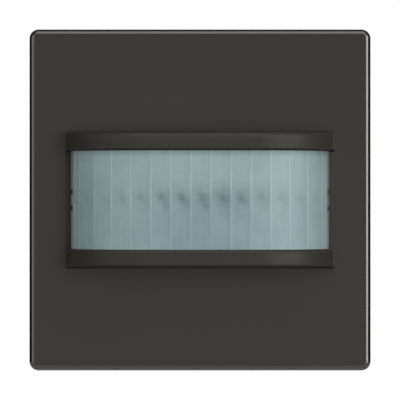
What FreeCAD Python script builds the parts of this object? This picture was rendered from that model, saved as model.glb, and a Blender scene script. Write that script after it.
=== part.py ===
import FreeCAD, Part
import math
import os

# Flush-mounted passive infrared motion sensor head: square cover plate, bowed lens hood and plug-in rear.
# Millimetres. +Z is up, -Y looks into the room, and the origin is the centre of the cover's rear rim.
# Depths are y values along the line of sight, so a smaller y is nearer to the room.

Vector = FreeCAD.Vector
ALONG_X = Vector(1, 0, 0)
ALONG_Y = Vector(0, 1, 0)
ALONG_Z = Vector(0, 0, 1)

# A cutter runs this far past the face that it opens, and a boss or rib roots this deep in its wall
past = 1.0
root_depth = 0.1

# Places are matched to within this much when edges are picked for rounding
close = 0.001

# Thin wires have flat sides
wire_sides = 8

# Cover plate
cover_size = 63.0
cover_depth = 8.0
cover_front_wall = 2.2
cover_skirt_wall = 1.6
cover_corner_radius = 1.6
cover_edge_bevel = 0.5
cover_rib_depth = 0.9
cover_rib_width = 1.0
cover_rib_offset = 18.5

# Hood: its plan is a flat crown, two shoulder arcs, two tight edge arcs and drafted sides
hood_width = 49.7
hood_height = 24.35
hood_protrusion = 12.0
hood_shoulder_radius = 17.8
hood_edge_radius = 3.6
hood_shoulder_turn = math.radians(50.0)
hood_side_draft = math.radians(4.0)
hood_roof_draft = math.radians(1.5)
hood_front_wall = 1.0
hood_roof_wall = 1.3
hood_edge_round = 0.8
hood_gap = 0.12
hood_flange_width = 1.6
hood_flange_depth = 1.5

# Lens window: it leaves a roof band and a floor band, which the flange joins behind the cover
window_height = 17.85

# Two small lugs of the cover stand in slots at each end of the lens and locate it
lug_height = 0.65
lug_reach = 0.5
lug_proud = 4.9
lug_sink = 0.08
lug_spacing = 2.95
lug_gap = 0.1

# Lens
lens_thickness = 0.6
lens_gap = 0.05
lens_facet_count = 15
lens_facet_width = 3.6
lens_groove_width = 0.3
lens_groove_depth = 0.25
lens_end_gap = 0.1
lens_side_gap = 0.12
lens_tail = 1.8

# Retainer: the open basket that presses the lens into the hood
retainer_gap = 0.05
retainer_front_wall = 1.1
retainer_roof_wall = 1.0
retainer_window_margin = 0.2
retainer_end_width = 1.5

# Rear housing
housing_size = 46.0
housing_wall = 1.5
housing_corner_radius = 3.0
housing_edge_bevel = 0.8
housing_reach = 13.5
housing_flange_gap = 1.9
housing_flange_depth = 1.5
housing_flange_radius = 2.5
clamp_gap = 0.05

# Two screws at opposite corners join the rear housing to the cover, and clamp the board between them
screw_shank_radius = 1.05
screw_pilot_gap = 0.05
screw_hole_gap = 0.25
screw_head_radius = 2.1
screw_head_height = 1.4
screw_bite = 1.2
screw_tip_gap = 0.2
boss_size = 4.8

# Circuit board and its posts
board_gap = 0.3
board_front = 1.0
board_thickness = 1.6
board_corner_radius = 2.0
post_inset = 3.9
post_size = 4.4

# Pyroelectric detector
detector_standoff = 1.8
detector_can_radius = 4.1
detector_can_height = 4.2
detector_can_wall = 0.3
detector_rim_radius = 4.6
detector_rim_height = 0.5
detector_window_width = 4.0
detector_window_height = 3.0
detector_filter_margin = 0.4
detector_filter_thickness = 0.4
detector_lead_count = 3
detector_lead_width = 0.45
detector_lead_circle = 2.54
detector_lead_tail = 0.8

# Holder that seats the detector and closes the optical chamber behind the lens
holder_floor_gap = 0.2
holder_floor_depth = 1.0
holder_cup_radius = 6.4
holder_cup_gap = 0.15
holder_corner_radius = 1.0
holder_foot_size = 2.4
holder_ledge = 1.0
holder_foot_offset = 17.0

# Trimmers: one sets the switch-off delay, one sets the dusk level
trimmer_spacing = 22.0
trimmer_post_gap = 0.1
trimmer_size = 9.6
trimmer_depth = 5.0
rotor_radius = 3.7
rotor_depth = 1.4
rotor_gap = 0.08
rotor_floor = 0.3
knob_shaft_width = 2.8
knob_shaft_gap = 0.02
knob_head_radius = 3.2
knob_head_depth = 2.0
knob_proud = 0.3
knob_gap = 0.2
knob_slot_width = 1.0
knob_slot_depth = 1.0
knob_slot_length = 4.6
knob_arrow_width = 2.2
knob_arrow_start = 1.6
knob_arrow_end = 2.8

# Plug with two rows of pins
plug_columns = 5
plug_rows = 2
plug_pitch = 2.54
plug_drop = 10.5
plug_margin = 2.0
plug_wall = 1.0
plug_radius = 0.8
plug_reach = 5.5
plug_block_depth = 7.4
plug_gap = 0.2
plug_key_width = 2.4
plug_key_height = 4.0
pin_width = 0.64
pin_gap = 0.03
pin_front_tail = 0.8
pin_rear_inset = 1.6

# Collar round the plug on the housing's rear wall
collar_wall = 1.1
collar_depth = 1.2

# Spring clips on the housing's sides
clip_thickness = 0.4
clip_width = 9.0
clip_front_margin = 3.55
clip_rear_margin = 1.9
clip_tip_margin = 2.6
clip_bulge = 2.6
clip_return = 0.9
clip_bend_radius = 0.6
clip_rail_width = 1.4
clip_rail_height = 1.3
clip_rail_lip = 0.8
clip_rail_start = 1.0
clip_rail_end = 3.4
clip_gap = 0.1

# Small parts on the board
chip_lead_width = 0.4
chip_lead_thickness = 0.2
chip_lead_reach = 1.0
chip_standoff = 0.1
controller_length = 8.7
controller_width = 3.9
controller_depth = 1.5
controller_leads_per_side = 7
controller_offset = 12.0
amplifier_length = 4.9
amplifier_width = 3.9
amplifier_depth = 1.5
amplifier_leads_per_side = 4
amplifier_offset = 10.0
chip_pitch = 1.27
regulator_length = 6.5
regulator_width = 3.5
regulator_depth = 1.6
regulator_tab_reach = 1.4
resistor_length = 2.0
resistor_width = 1.25
resistor_depth = 0.5
capacitor_length = 2.0
capacitor_width = 1.25
capacitor_depth = 0.9
small_part_pitch = 2.6
row_margin = 5.2
low_part_offset = 3.3
high_part_offset = 8.6
solder_cap = 0.4
solder_proud = 0.05
storage_radius = 4.0
storage_height = 8.2
storage_offset = 15.0
storage_drop = 5.5
resonator_length = 5.0
resonator_width = 3.2
resonator_depth = 1.2
resonator_drop = 3.4
lamp_width = 2.4
lamp_depth = 1.9
lamp_offset = 11.5
dusk_sensor_width = 3.6
dusk_sensor_depth = 1.7
dusk_sensor_offset = 11.5
chamber_hole_margin = 0.6

# Places that follow from the sizes above
plate_front = -cover_depth
plate_inside = plate_front + cover_front_wall
crown_y = plate_front - hood_protrusion
hood_flange_rear = plate_inside + hood_flange_depth
lens_outer_inset = hood_front_wall + lens_gap
lens_inner_inset = lens_outer_inset + lens_thickness
lens_height = hood_height - 2 * (hood_roof_wall + lens_end_gap)
lens_rear = plate_front + lens_tail
retainer_inset = lens_inner_inset + retainer_gap
housing_flange_front = hood_flange_rear + clamp_gap
housing_flange_rear = housing_flange_front + housing_flange_depth
housing_rear = housing_reach
housing_inside = housing_rear - housing_wall
housing_side = housing_size / 2
housing_inner_size = housing_size - 2 * housing_wall
housing_flange_size = cover_size - 2 * (cover_skirt_wall + housing_flange_gap)
screw_spacing = (housing_size + housing_flange_size) / 2
post_offset = housing_inner_size / 2 - post_inset
trimmer_height = post_offset - (post_size + trimmer_size) / 2 - trimmer_post_gap
board_rear = board_front + board_thickness
board_size = housing_inner_size - 2 * board_gap
row_height = board_size / 2 - row_margin
controller_place = (-controller_offset, -row_height)
amplifier_place = (amplifier_offset, -row_height)
regulator_place = (0.0, row_height)
resonator_place = (0.0, row_height - resonator_drop)
lamp_place = (-lamp_offset, 0.0)
dusk_sensor_place = (dusk_sensor_offset, 0.0)
detector_rear = board_front - detector_standoff
detector_front = detector_rear - detector_can_height
holder_floor_front = housing_flange_front
holder_floor_rear = holder_floor_front + holder_floor_depth
holder_floor_width = housing_inner_size - 2 * holder_floor_gap
trimmer_rear = board_rear + trimmer_depth
knob_head_rear = housing_rear + knob_proud
knob_head_front = knob_head_rear - knob_head_depth
plug_rear = housing_rear + plug_reach
plug_width = (plug_columns - 1) * plug_pitch + 2 * (plug_margin + plug_wall)
plug_height = (plug_rows - 1) * plug_pitch + 2 * (plug_margin + plug_wall)
clip_start = housing_flange_rear + clip_front_margin
clip_end = housing_rear - clip_rear_margin


def save(name, shape):
    """Write one sub-part as parts/NAME.step."""
    shape.exportStep("parts/" + name + ".step")
    print(name, "solids", len(shape.Solids), "valid", shape.isValid(), "volume", round(shape.Volume, 2))


def block(x_range, y_range, z_range):
    """Box between two x, two y and two z values."""
    size = [high - low for low, high in (x_range, y_range, z_range)]
    return Part.makeBox(*size, Vector(x_range[0], y_range[0], z_range[0]))


def centred(width):
    """The range of that width about zero."""
    return (-width / 2, width / 2)


def around(middle, width):
    """The range of that width about a middle value."""
    return (middle - width / 2, middle + width / 2)


def rod(radius, y_range, x=0.0, z=0.0):
    """Cylinder along Y."""
    return Part.makeCylinder(radius, y_range[1] - y_range[0], Vector(x, y_range[0], z), ALONG_Y)


def wire(width, y_range, x, z):
    """Thin many-sided wire or hole along Y, as wide as stated across its flats."""
    radius = width / 2 / math.cos(math.pi / wire_sides)
    points = []
    for index in range(wire_sides + 1):
        turn = 2 * math.pi / wire_sides * (index + 0.5)
        points.append(Vector(x + radius * math.cos(turn), y_range[0], z + radius * math.sin(turn)))
    return Part.Face(Part.makePolygon(points)).extrude(ALONG_Y * (y_range[1] - y_range[0]))


def rounded_block(width, height, radius, y_range, x=0.0, z=0.0):
    """Block along Y whose four long edges are rounded."""
    body = block(around(x, width), y_range, around(z, height))
    long_edges = [e for e in body.Edges if abs(e.tangentAt(e.FirstParameter).y) > 0.99]
    return body.makeFillet(radius, long_edges)


def corners(spacing):
    """The four corners of a centred square, as (x, z)."""
    half = spacing / 2
    return [(sx * half, sz * half) for sx in (-1, 1) for sz in (-1, 1)]


def opposite_corners(spacing):
    """The upper left and lower right corners of a centred square, as (x, z)."""
    half = spacing / 2
    return [(-half, half), (half, -half)]


def hood_arcs(inset):
    """Centre, radius, first and last turn of the right-hand shoulder and edge arcs, from the crown outwards."""
    side_turn = math.pi / 2 - hood_side_draft
    shoulder_x = hood_shoulder_radius * math.sin(hood_shoulder_turn)
    shoulder_y = hood_shoulder_radius * (1 - math.cos(hood_shoulder_turn))
    edge_x = hood_edge_radius * (math.sin(side_turn) - math.sin(hood_shoulder_turn))
    edge_y = hood_edge_radius * (math.cos(hood_shoulder_turn) - math.cos(side_turn))
    straight_y = hood_protrusion - shoulder_y - edge_y
    crown_half = hood_width / 2 - shoulder_x - edge_x - straight_y * math.tan(hood_side_draft)
    shoulder_centre = Vector(crown_half, crown_y + hood_shoulder_radius, 0)
    step = hood_shoulder_radius - hood_edge_radius
    edge_centre = shoulder_centre + Vector(math.sin(hood_shoulder_turn), -math.cos(hood_shoulder_turn), 0) * step
    return [
        (shoulder_centre, hood_shoulder_radius - inset, 0.0, hood_shoulder_turn),
        (edge_centre, hood_edge_radius - inset, hood_shoulder_turn, side_turn),
    ]


def on_arc(centre, radius, turn, side=1):
    """Point on an arc of the hood's plan, mirrored to the left where side is -1."""
    point = centre + Vector(math.sin(turn), -math.cos(turn), 0) * radius
    return Vector(side * point.x, point.y, 0)


def bowed_edges(inset, rear_y, side):
    """Arcs and straight side of one half of the plan, with its first and last points."""
    edges = []
    for centre, radius, first, last in hood_arcs(inset):
        ends = [on_arc(centre, radius, turn, side) for turn in (first, (first + last) / 2, last)]
        edges.append(Part.Arc(*ends).toShape())
    start = ends[2]
    run = (rear_y - start.y) * math.tan(hood_side_draft)
    rear = Vector(start.x + side * run, rear_y, 0)
    edges.append(Part.LineSegment(start, rear).toShape())
    crown = Vector(side * hood_arcs(inset)[0][0].x, crown_y + inset, 0)
    return edges, crown, rear


def bowed_block(inset, height, rear_y):
    """Solid with the hood's bowed plan, set in by an amount, as high as stated and cut square at the rear."""
    right_edges, right_crown, right_rear = bowed_edges(inset, rear_y, 1)
    left_edges, left_crown, left_rear = bowed_edges(inset, rear_y, -1)
    crown = Part.LineSegment(left_crown, right_crown).toShape()
    closing = Part.LineSegment(left_rear, right_rear).toShape()
    wire = Part.Wire(Part.__sortEdges__(right_edges + left_edges + [crown, closing]))
    solid = Part.Face(wire).extrude(ALONG_Z * height)
    solid.translate(ALONG_Z * (-height / 2))
    return solid.removeSplitter()


def roof_height(y):
    """Height of the hood's roof above the centre at a depth."""
    return hood_height / 2 + (y - crown_y) * math.tan(hood_roof_draft)


def side_reach(inset, y):
    """Distance of the hood's straight side from the centre at a depth, set in by an amount."""
    return hood_width / 2 + (y - plate_front) * math.tan(hood_side_draft) - inset / math.cos(hood_side_draft)


def hood_band(inset, edge_round, lower, rear_y):
    """Upper band of the hood, set in by an amount: a bowed slab, tilted so that its roof has its draft."""
    slab = bowed_block(inset, hood_height - 2 * inset, rear_y + past)
    roof_edges = []
    for edge in slab.Edges:
        box = edge.BoundBox
        if box.ZMin > hood_height / 2 - inset - close and box.YMin < rear_y:
            roof_edges.append(edge)
    slab = slab.makeFillet(edge_round, roof_edges)
    slab.rotate(Vector(0, crown_y, hood_height / 2), ALONG_X, math.degrees(hood_roof_draft))
    room = block(centred(2 * hood_width), (crown_y - past, rear_y), (lower, hood_height))
    return slab.common(room)


def mirrored(shape):
    """The shape's copy below the centre."""
    return shape.mirror(Vector(0, 0, 0), ALONG_Z)


def plan_point(distance, inset):
    """Point and turn at a distance along the plan from the middle, to the right where it is positive."""
    side = 1 if distance >= 0 else -1
    arcs = hood_arcs(inset)
    crown_half = arcs[0][0].x
    left = abs(distance) - crown_half
    if left <= 0:
        return Vector(distance, crown_y + inset, 0), 0.0
    for centre, radius, first, last in arcs:
        length = radius * (last - first)
        if left <= length:
            turn = first + left / radius
            return on_arc(centre, radius, turn, side), side * turn
        left -= length
    start = on_arc(centre, radius, last, side)
    along = Vector(side * math.cos(last), math.sin(last), 0)
    return start + along * left, side * last


def cover_plate():
    """Square front plate with a skirt, a window for the hood, ribs and four bosses for the housing."""
    body = rounded_block(cover_size, cover_size, cover_corner_radius, (plate_front, 0))
    front_edges = [e for e in body.Edges if abs(e.BoundBox.YMax - plate_front) < close]
    body = body.makeChamfer(cover_edge_bevel, front_edges)
    inner_size = cover_size - 2 * cover_skirt_wall
    body = body.cut(block(centred(inner_size), (plate_inside, past), centred(inner_size)))
    rib_y = (plate_inside - root_depth, plate_inside + cover_rib_depth)
    for side in (-1, 1):
        rib_z = around(side * cover_rib_offset, cover_rib_width)
        body = body.fuse(block(centred(inner_size + root_depth), rib_y, rib_z))
    for x, z in corners(screw_spacing):
        boss_y = (plate_inside - root_depth, housing_flange_front)
        body = body.fuse(block(around(x, boss_size), boss_y, around(z, boss_size)))
    for x, z in opposite_corners(screw_spacing):
        pilot_y = (plate_inside - screw_bite, housing_flange_front + past)
        body = body.cut(rod(screw_shank_radius + screw_pilot_gap, pilot_y, x, z))
    band_low = window_height / 2 - hood_gap
    band_window = hood_band(-hood_gap, hood_edge_round, band_low, plate_inside + past)
    lens_window = bowed_block(lens_outer_inset - lens_side_gap, window_height, plate_inside + past)
    body = body.cut([band_window, mirrored(band_window), lens_window])
    return body.fuse(lugs()).removeSplitter()


def lugs():
    """Two small lugs at each side of the cover's window, each with a finger bent like the lens's wall."""
    found = []
    root = side_reach(lens_outer_inset - lens_side_gap, plate_front)
    wall = bowed_block(lens_outer_inset + lug_sink, hood_height, plate_inside)
    wall = wall.cut(bowed_block(lens_inner_inset - lug_sink, hood_height + past, plate_inside + past))
    for side in (-1, 1):
        for level in (-1, 1):
            lug_x = sorted((side * (root - lug_reach), side * (root + lug_reach)))
            lug_z = around(level * lug_spacing / 2, lug_height)
            foot = block(lug_x, (plate_front, plate_inside), lug_z)
            finger_x = sorted((0, side * hood_width))
            finger = wall.common(block(finger_x, (plate_front - lug_proud, plate_inside), lug_z))
            found.append(foot.fuse(finger))
    return found


def lens_hood():
    """Bowed hood: a roof band and a floor band, joined by a flange behind the cover."""
    band = hood_band(0, hood_edge_round, window_height / 2, plate_inside)
    flange = rounded_block(
        2 * (side_reach(0, plate_inside) + hood_flange_width),
        2 * (roof_height(plate_inside) + hood_flange_width),
        hood_flange_width,
        (plate_inside, hood_flange_rear),
    )
    body = flange.fuse([band, mirrored(band)])
    cavity = bowed_block(hood_front_wall, hood_height - 2 * hood_roof_wall, hood_flange_rear + past)
    return body.cut(cavity).removeSplitter()


def fresnel_lens():
    """Bent strip of lens material, grooved on its inner side where one facet meets the next."""
    body = bowed_block(lens_outer_inset, lens_height, lens_rear)
    body = body.cut(bowed_block(lens_inner_inset, lens_height + 2 * past, lens_rear + past))
    for index in range(1, lens_facet_count):
        body = body.cut(facet_groove((index - lens_facet_count / 2) * lens_facet_width))
    slot_y = (plate_front - lug_proud - lug_gap, lens_rear + past)
    root = side_reach(lens_inner_inset, plate_front)
    for side in (-1, 1):
        for level in (-1, 1):
            slot_x = sorted((side * (root - 2 * lens_thickness), side * hood_width))
            slot_z = around(level * lug_spacing / 2, lug_height + 2 * lug_gap)
            body = body.cut(block(slot_x, slot_y, slot_z))
    return body.removeSplitter()


def facet_groove(distance):
    """Cutter for one V groove on the lens's inner side, at a distance from its middle."""
    point, turn = plan_point(distance, lens_inner_inset)
    across = Vector(math.cos(turn), math.sin(turn), 0)
    outward = Vector(math.sin(turn), -math.cos(turn), 0)
    mouth = point - outward * lens_groove_depth
    tip = point + outward * lens_groove_depth
    profile = [mouth + across * lens_groove_width, tip, mouth - across * lens_groove_width]
    profile = [Vector(p.x, p.y, -window_height / 2) for p in profile]
    face = Part.Face(Part.makePolygon(profile + [profile[0]]))
    return face.extrude(ALONG_Z * window_height)


def lens_retainer():
    """Open basket behind the lens, with a window as high as the hood's and a post at each end."""
    body = bowed_block(retainer_inset, lens_height, hood_flange_rear)
    inner_inset = retainer_inset + retainer_front_wall
    inner_height = lens_height - 2 * retainer_roof_wall
    body = body.cut(bowed_block(inner_inset, inner_height, hood_flange_rear + past))
    open_half = side_reach(retainer_inset, plate_front) - retainer_end_width
    open_height = window_height - 2 * retainer_window_margin
    opening = block((-open_half, open_half), (crown_y - past, plate_inside), centred(open_height))
    return body.cut(opening).removeSplitter()


def detector_holder():
    """Floor of the optical chamber with a cup round the detector, on two feet."""
    floor_y = (holder_floor_front, holder_floor_rear)
    body = rounded_block(holder_floor_width, lens_height, holder_corner_radius, floor_y)
    body = body.fuse(rod(holder_cup_radius, (holder_floor_front, board_front)))
    for side in (-1, 1):
        foot_x = around(side * holder_foot_offset, holder_foot_size)
        foot_y = (holder_floor_rear - root_depth, board_front)
        body = body.fuse(block(foot_x, foot_y, centred(holder_foot_size)))
    rim_hole = detector_rim_radius + holder_cup_gap
    body = body.cut(rod(rim_hole, (holder_floor_front - past, detector_rear)))
    body = body.cut(rod(detector_rim_radius - holder_ledge, (detector_rear - past, board_front + past)))
    hole_y = (holder_floor_front - past, board_front)
    for width, (x, z) in ((lamp_width, lamp_place), (dusk_sensor_width, dusk_sensor_place)):
        hole = width + 2 * chamber_hole_margin
        body = body.cut(block(around(x, hole), hole_y, around(z, hole)))
    return body.removeSplitter()


def detector_can():
    """Sealed metal can with a rolled rim, a square-cut window and a pocket for the filter."""
    body = rod(detector_can_radius, (detector_front, detector_rear))
    body = body.fuse(rod(detector_rim_radius, (detector_rear - detector_rim_height, detector_rear)))
    body = body.cut(detector_filter())
    opening_y = around(detector_front, 2 * past)
    body = body.cut(block(centred(detector_window_width), opening_y, centred(detector_window_height)))
    return body.removeSplitter()


def detector_filter():
    """Infrared filter behind the can's window."""
    front = detector_front + detector_can_wall
    width = detector_window_width + 2 * detector_filter_margin
    height = detector_window_height + 2 * detector_filter_margin
    return block(centred(width), (front, front + detector_filter_thickness), centred(height))


def lead_places():
    """Centres of the detector's leads, evenly round its base, as (x, z)."""
    turns = [math.pi / 2 + 2 * math.pi * index / detector_lead_count for index in range(detector_lead_count)]
    return [(detector_lead_circle * math.cos(turn), detector_lead_circle * math.sin(turn)) for turn in turns]


def detector_leads():
    """Three leads from the can's base through the board."""
    lead_y = (detector_rear, board_rear + detector_lead_tail)
    return Part.makeCompound([wire(detector_lead_width, lead_y, x, z) for x, z in lead_places()])


def pin_places():
    """Centres of the plug's pins, as (x, z)."""
    columns = [(i - (plug_columns - 1) / 2) * plug_pitch for i in range(plug_columns)]
    rows = [(i - (plug_rows - 1) / 2) * plug_pitch - plug_drop for i in range(plug_rows)]
    return [(x, z) for x in columns for z in rows]


def circuit_board():
    """Board with holes for the detector's leads and the plug's pins."""
    body = rounded_block(board_size, board_size, board_corner_radius, (board_front, board_rear))
    through = (board_front - past, board_rear + past)
    for x, z in lead_places():
        body = body.cut(wire(detector_lead_width + 2 * pin_gap, through, x, z))
    hole = pin_width + 2 * pin_gap
    for x, z in pin_places():
        body = body.cut(block(around(x, hole), through, around(z, hole)))
    return body


def chip_body(length, width, depth, place):
    """Moulded chip package on the board's front."""
    rear = board_front - chip_standoff
    return block(around(place[0], length), (rear - depth, rear), around(place[1], width))


def chip_leads():
    """Leads of both chips, each bent down from the package to the board."""
    leads = []
    chips = (
        (controller_width, controller_depth, controller_leads_per_side, controller_place),
        (amplifier_width, amplifier_depth, amplifier_leads_per_side, amplifier_place),
    )
    for width, depth, count, (x, z) in chips:
        shoulder_y = board_front - chip_standoff - depth / 2
        for index in range(count):
            lead_x = around(x + (index - (count - 1) / 2) * chip_pitch, chip_lead_width)
            for side in (-1, 1):
                near = z + side * width / 2
                knee = near + side * chip_lead_reach
                upper_z = sorted((near, knee))
                upper_y = (shoulder_y, shoulder_y + chip_lead_thickness)
                riser_z = sorted((knee - side * chip_lead_thickness, knee))
                riser = block(lead_x, (shoulder_y, board_front), riser_z)
                leads.append(block(lead_x, upper_y, upper_z).fuse(riser).removeSplitter())
    return Part.makeCompound(leads)


def voltage_regulator():
    """Power package with a cooling tab, on the board's rear."""
    x, z = regulator_place
    body = block(around(x, regulator_length), (board_rear, board_rear + regulator_depth), around(z, regulator_width))
    tab_z = (z + regulator_width / 2, z + regulator_width / 2 + regulator_tab_reach)
    tab = block(around(x, regulator_length / 2), (board_rear, board_rear + chip_lead_thickness), tab_z)
    return body.fuse(tab).removeSplitter()


def resistor_places():
    """Two columns of resistors low on the board and one beside the resonator, as (x, z)."""
    rows = [index * small_part_pitch for index in range(2)]
    low = [(side * low_part_offset, -row_height - drop) for side in (-1, 1) for drop in rows]
    return low + [(-high_part_offset, row_height + rise) for rise in rows]


def capacitor_places():
    """Capacitors above the low rows and beside the resonator, as (x, z)."""
    low_height = small_part_pitch - row_height
    low = [(0, low_height), (-2 * low_part_offset, low_height + small_part_pitch)]
    return low + [(high_part_offset, row_height + index * small_part_pitch) for index in range(2)]


def small_parts(places, length, width, depth):
    """Row of two-ended parts on the board's front, each with raised end caps."""
    parts = []
    for x, z in places:
        body = block(around(x, length), (board_front - depth, board_front), around(z, width))
        for side in (-1, 1):
            cap_x = around(x + side * (length - solder_cap) / 2, solder_cap)
            cap_y = (board_front - depth - solder_proud, board_front)
            body = body.fuse(block(cap_x, cap_y, around(z, width + 2 * solder_proud)))
        parts.append(body.removeSplitter())
    return Part.makeCompound(parts)


def storage_capacitors():
    """Round storage capacitors that stand on the board's rear."""
    can_y = (board_rear, board_rear + storage_height)
    return Part.makeCompound([rod(storage_radius, can_y, side * storage_offset, -storage_drop) for side in (-1, 1)])


def status_lamp():
    """Square chip lamp that glows through the lens during a walk test."""
    x, z = lamp_place
    return block(around(x, lamp_width), (board_front - lamp_depth, board_front), around(z, lamp_width))


def dusk_sensor():
    """Square light sensor that looks through the lens."""
    x, z = dusk_sensor_place
    width = dusk_sensor_width
    return block(around(x, width), (board_front - dusk_sensor_depth, board_front), around(z, width))


def trimmer_body(x):
    """Square trimmer housing with a round seat for its rotor."""
    z = trimmer_height
    body = block(around(x, trimmer_size), (board_rear, trimmer_rear), around(z, trimmer_size))
    seat_y = (trimmer_rear - rotor_depth - rotor_gap, trimmer_rear + past)
    return body.cut(rod(rotor_radius + rotor_gap, seat_y, x, z))


def trimmer_rotor(x):
    """Rotor in the trimmer, with a blind square bore for the knob's shaft."""
    z = trimmer_height
    disc = rod(rotor_radius, (trimmer_rear - rotor_depth, trimmer_rear), x, z)
    bore_y = (trimmer_rear - rotor_depth + rotor_floor, trimmer_rear + past)
    bore = knob_shaft_width + 2 * knob_shaft_gap
    return disc.cut(block(around(x, bore), bore_y, around(z, bore)))


def trimmer_knob(x):
    """Slotted adjuster: a round head with an arrow in the rear wall, on a square shaft that ends in the rotor."""
    z = trimmer_height
    head = rod(knob_head_radius, (knob_head_front, knob_head_rear), x, z)
    slot_floor = knob_head_rear - knob_slot_depth
    slot_y = (slot_floor, knob_head_rear + past)
    head = head.cut(block(around(x, knob_slot_width), slot_y, around(z, knob_slot_length)))
    left = Vector(x - knob_arrow_width / 2, slot_floor, z + knob_arrow_start)
    right = Vector(x + knob_arrow_width / 2, slot_floor, z + knob_arrow_start)
    tip = Vector(x, slot_floor, z + knob_arrow_end)
    arrow = Part.Face(Part.makePolygon([left, tip, right, left])).extrude(ALONG_Y * (knob_slot_depth + past))
    head = head.cut(arrow)
    shaft_y = (trimmer_rear - rotor_depth + rotor_floor, knob_head_front)
    shaft = block(around(x, knob_shaft_width), shaft_y, around(z, knob_shaft_width))
    return head.fuse(shaft).removeSplitter()


def plug_body():
    """Plug shell with a solid block for the pins and a polarising key slot."""
    body = rounded_block(plug_width, plug_height, plug_radius, (board_rear, plug_rear), 0, -plug_drop)
    block_rear = board_rear + plug_block_depth
    inner_width = plug_width - 2 * plug_wall
    inner_height = plug_height - 2 * plug_wall
    inner_y = (block_rear, plug_rear + past)
    body = body.cut(rounded_block(inner_width, inner_height, plug_radius / 2, inner_y, 0, -plug_drop))
    key_z = around(plug_height / 2 - plug_drop, 3 * plug_wall)
    body = body.cut(block(centred(plug_key_width), (plug_rear - plug_key_height, plug_rear + past), key_z))
    hole = pin_width + 2 * pin_gap
    for x, z in pin_places():
        body = body.cut(block(around(x, hole), (board_rear - past, block_rear + past), around(z, hole)))
    return body.removeSplitter()


def plug_pins():
    """Square contact pins, soldered in the board and pointed at the rear."""
    pins = []
    rear = plug_rear - pin_rear_inset
    for x, z in pin_places():
        pin = block(around(x, pin_width), (board_front - pin_front_tail, rear), around(z, pin_width))
        tip = [e for e in pin.Edges if e.BoundBox.YMin > rear - close]
        pins.append(pin.makeChamfer(pin_width / 4, tip))
    return Part.makeCompound(pins)


def clip_rails(side):
    """Two hooked rails on a side wall that hold a spring clip."""
    rails = []
    wall_x = side * housing_side
    out = wall_x + side * clip_rail_height
    hook_in = wall_x + side * (clip_thickness + clip_gap)
    rail_y = (clip_start + clip_rail_start, clip_end - clip_rail_end)
    hook_y = (rail_y[0], clip_start + clip_tip_margin - clip_thickness - clip_gap)
    for level in (-1, 1):
        edge = level * (clip_width / 2 + clip_gap)
        rail_z = sorted((edge, edge + level * clip_rail_width))
        hook_z = sorted((edge - level * clip_rail_lip, edge + level * clip_rail_width))
        rails.append(block(sorted((wall_x - side * root_depth, out)), rail_y, rail_z))
        rails.append(block(sorted((hook_in, out)), hook_y, hook_z))
    return rails


def housing_shell():
    """Rear box with its flange, open towards the room."""
    box_y = (housing_flange_front, housing_rear)
    body = rounded_block(housing_size, housing_size, housing_corner_radius, box_y)
    rear_edges = [e for e in body.Edges if e.BoundBox.YMin > housing_rear - close]
    body = body.makeChamfer(housing_edge_bevel, rear_edges)
    flange_y = (housing_flange_front, housing_flange_rear)
    size = housing_flange_size
    body = body.fuse(rounded_block(size, size, housing_flange_radius, flange_y))
    inner_radius = housing_corner_radius - housing_wall
    inner_y = (housing_flange_front - past, housing_inside)
    return body.cut(rounded_block(housing_inner_size, housing_inner_size, inner_radius, inner_y))


def rear_housing():
    """Rear box with a flange, board posts, holes for the knobs, a plug opening and clip rails."""
    body = housing_shell()
    for x, z in corners(2 * post_offset):
        body = body.fuse(block(around(x, post_size), (board_rear, housing_inside + root_depth), around(z, post_size)))
    open_width = plug_width + 2 * plug_gap
    open_height = plug_height + 2 * plug_gap
    open_radius = plug_radius + plug_gap
    collar_width = open_width + 2 * collar_wall
    collar_height = open_height + 2 * collar_wall
    collar_y = (housing_rear - root_depth, housing_rear + collar_depth)
    open_y = (housing_inside - past, housing_rear + collar_depth + past)
    body = body.fuse(
        rounded_block(collar_width, collar_height, open_radius + collar_wall, collar_y, 0, -plug_drop)
    )
    body = body.cut(rounded_block(open_width, open_height, open_radius, open_y, 0, -plug_drop))
    for side in (-1, 1):
        x = side * trimmer_spacing / 2
        z = trimmer_height
        body = body.cut(rod(knob_head_radius + knob_gap, (housing_inside - past, housing_rear + past), x, z))
    for x, z in opposite_corners(screw_spacing):
        hole_y = (housing_flange_front - past, housing_flange_rear + past)
        body = body.cut(rod(screw_shank_radius + screw_hole_gap, hole_y, x, z))
    return body.fuse(clip_rails(-1) + clip_rails(1)).removeSplitter()


def spring_clip(side):
    """Sheet-metal clip: a leg on the housing, a fold at the rear and a bowed leg that springs outwards."""
    half = clip_thickness / 2
    leg_x = housing_side + half
    tip_y = clip_start + clip_tip_margin
    fold = Vector(side * (leg_x + clip_bend_radius), clip_end + clip_bend_radius, 0)
    points = [
        Vector(side * leg_x, clip_start, 0),
        Vector(side * leg_x, clip_end, 0),
        Vector(side * (leg_x + 2 * clip_bend_radius), clip_end, 0),
        Vector(side * (leg_x + clip_bulge), (tip_y + clip_end) / 2, 0),
        Vector(side * (leg_x + clip_return), tip_y, 0),
    ]
    edges = [
        Part.LineSegment(points[0], points[1]).toShape(),
        Part.Arc(points[1], fold, points[2]).toShape(),
        Part.LineSegment(points[2], points[3]).toShape(),
        Part.LineSegment(points[3], points[4]).toShape(),
    ]
    outline = Part.Wire(edges).makeOffset2D(half, 2, False, False)
    body = Part.Face(outline).extrude(ALONG_Z * clip_width)
    body.translate(ALONG_Z * (-clip_width / 2))
    return body


def screw(length, shank_radius):
    """Pan-head screw on the Y axis: its head rises from 0 towards the rear and its shank points forward."""
    head = rod(screw_head_radius, (0, screw_head_height))
    return head.fuse(rod(shank_radius, (-length, 0))).removeSplitter()


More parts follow.
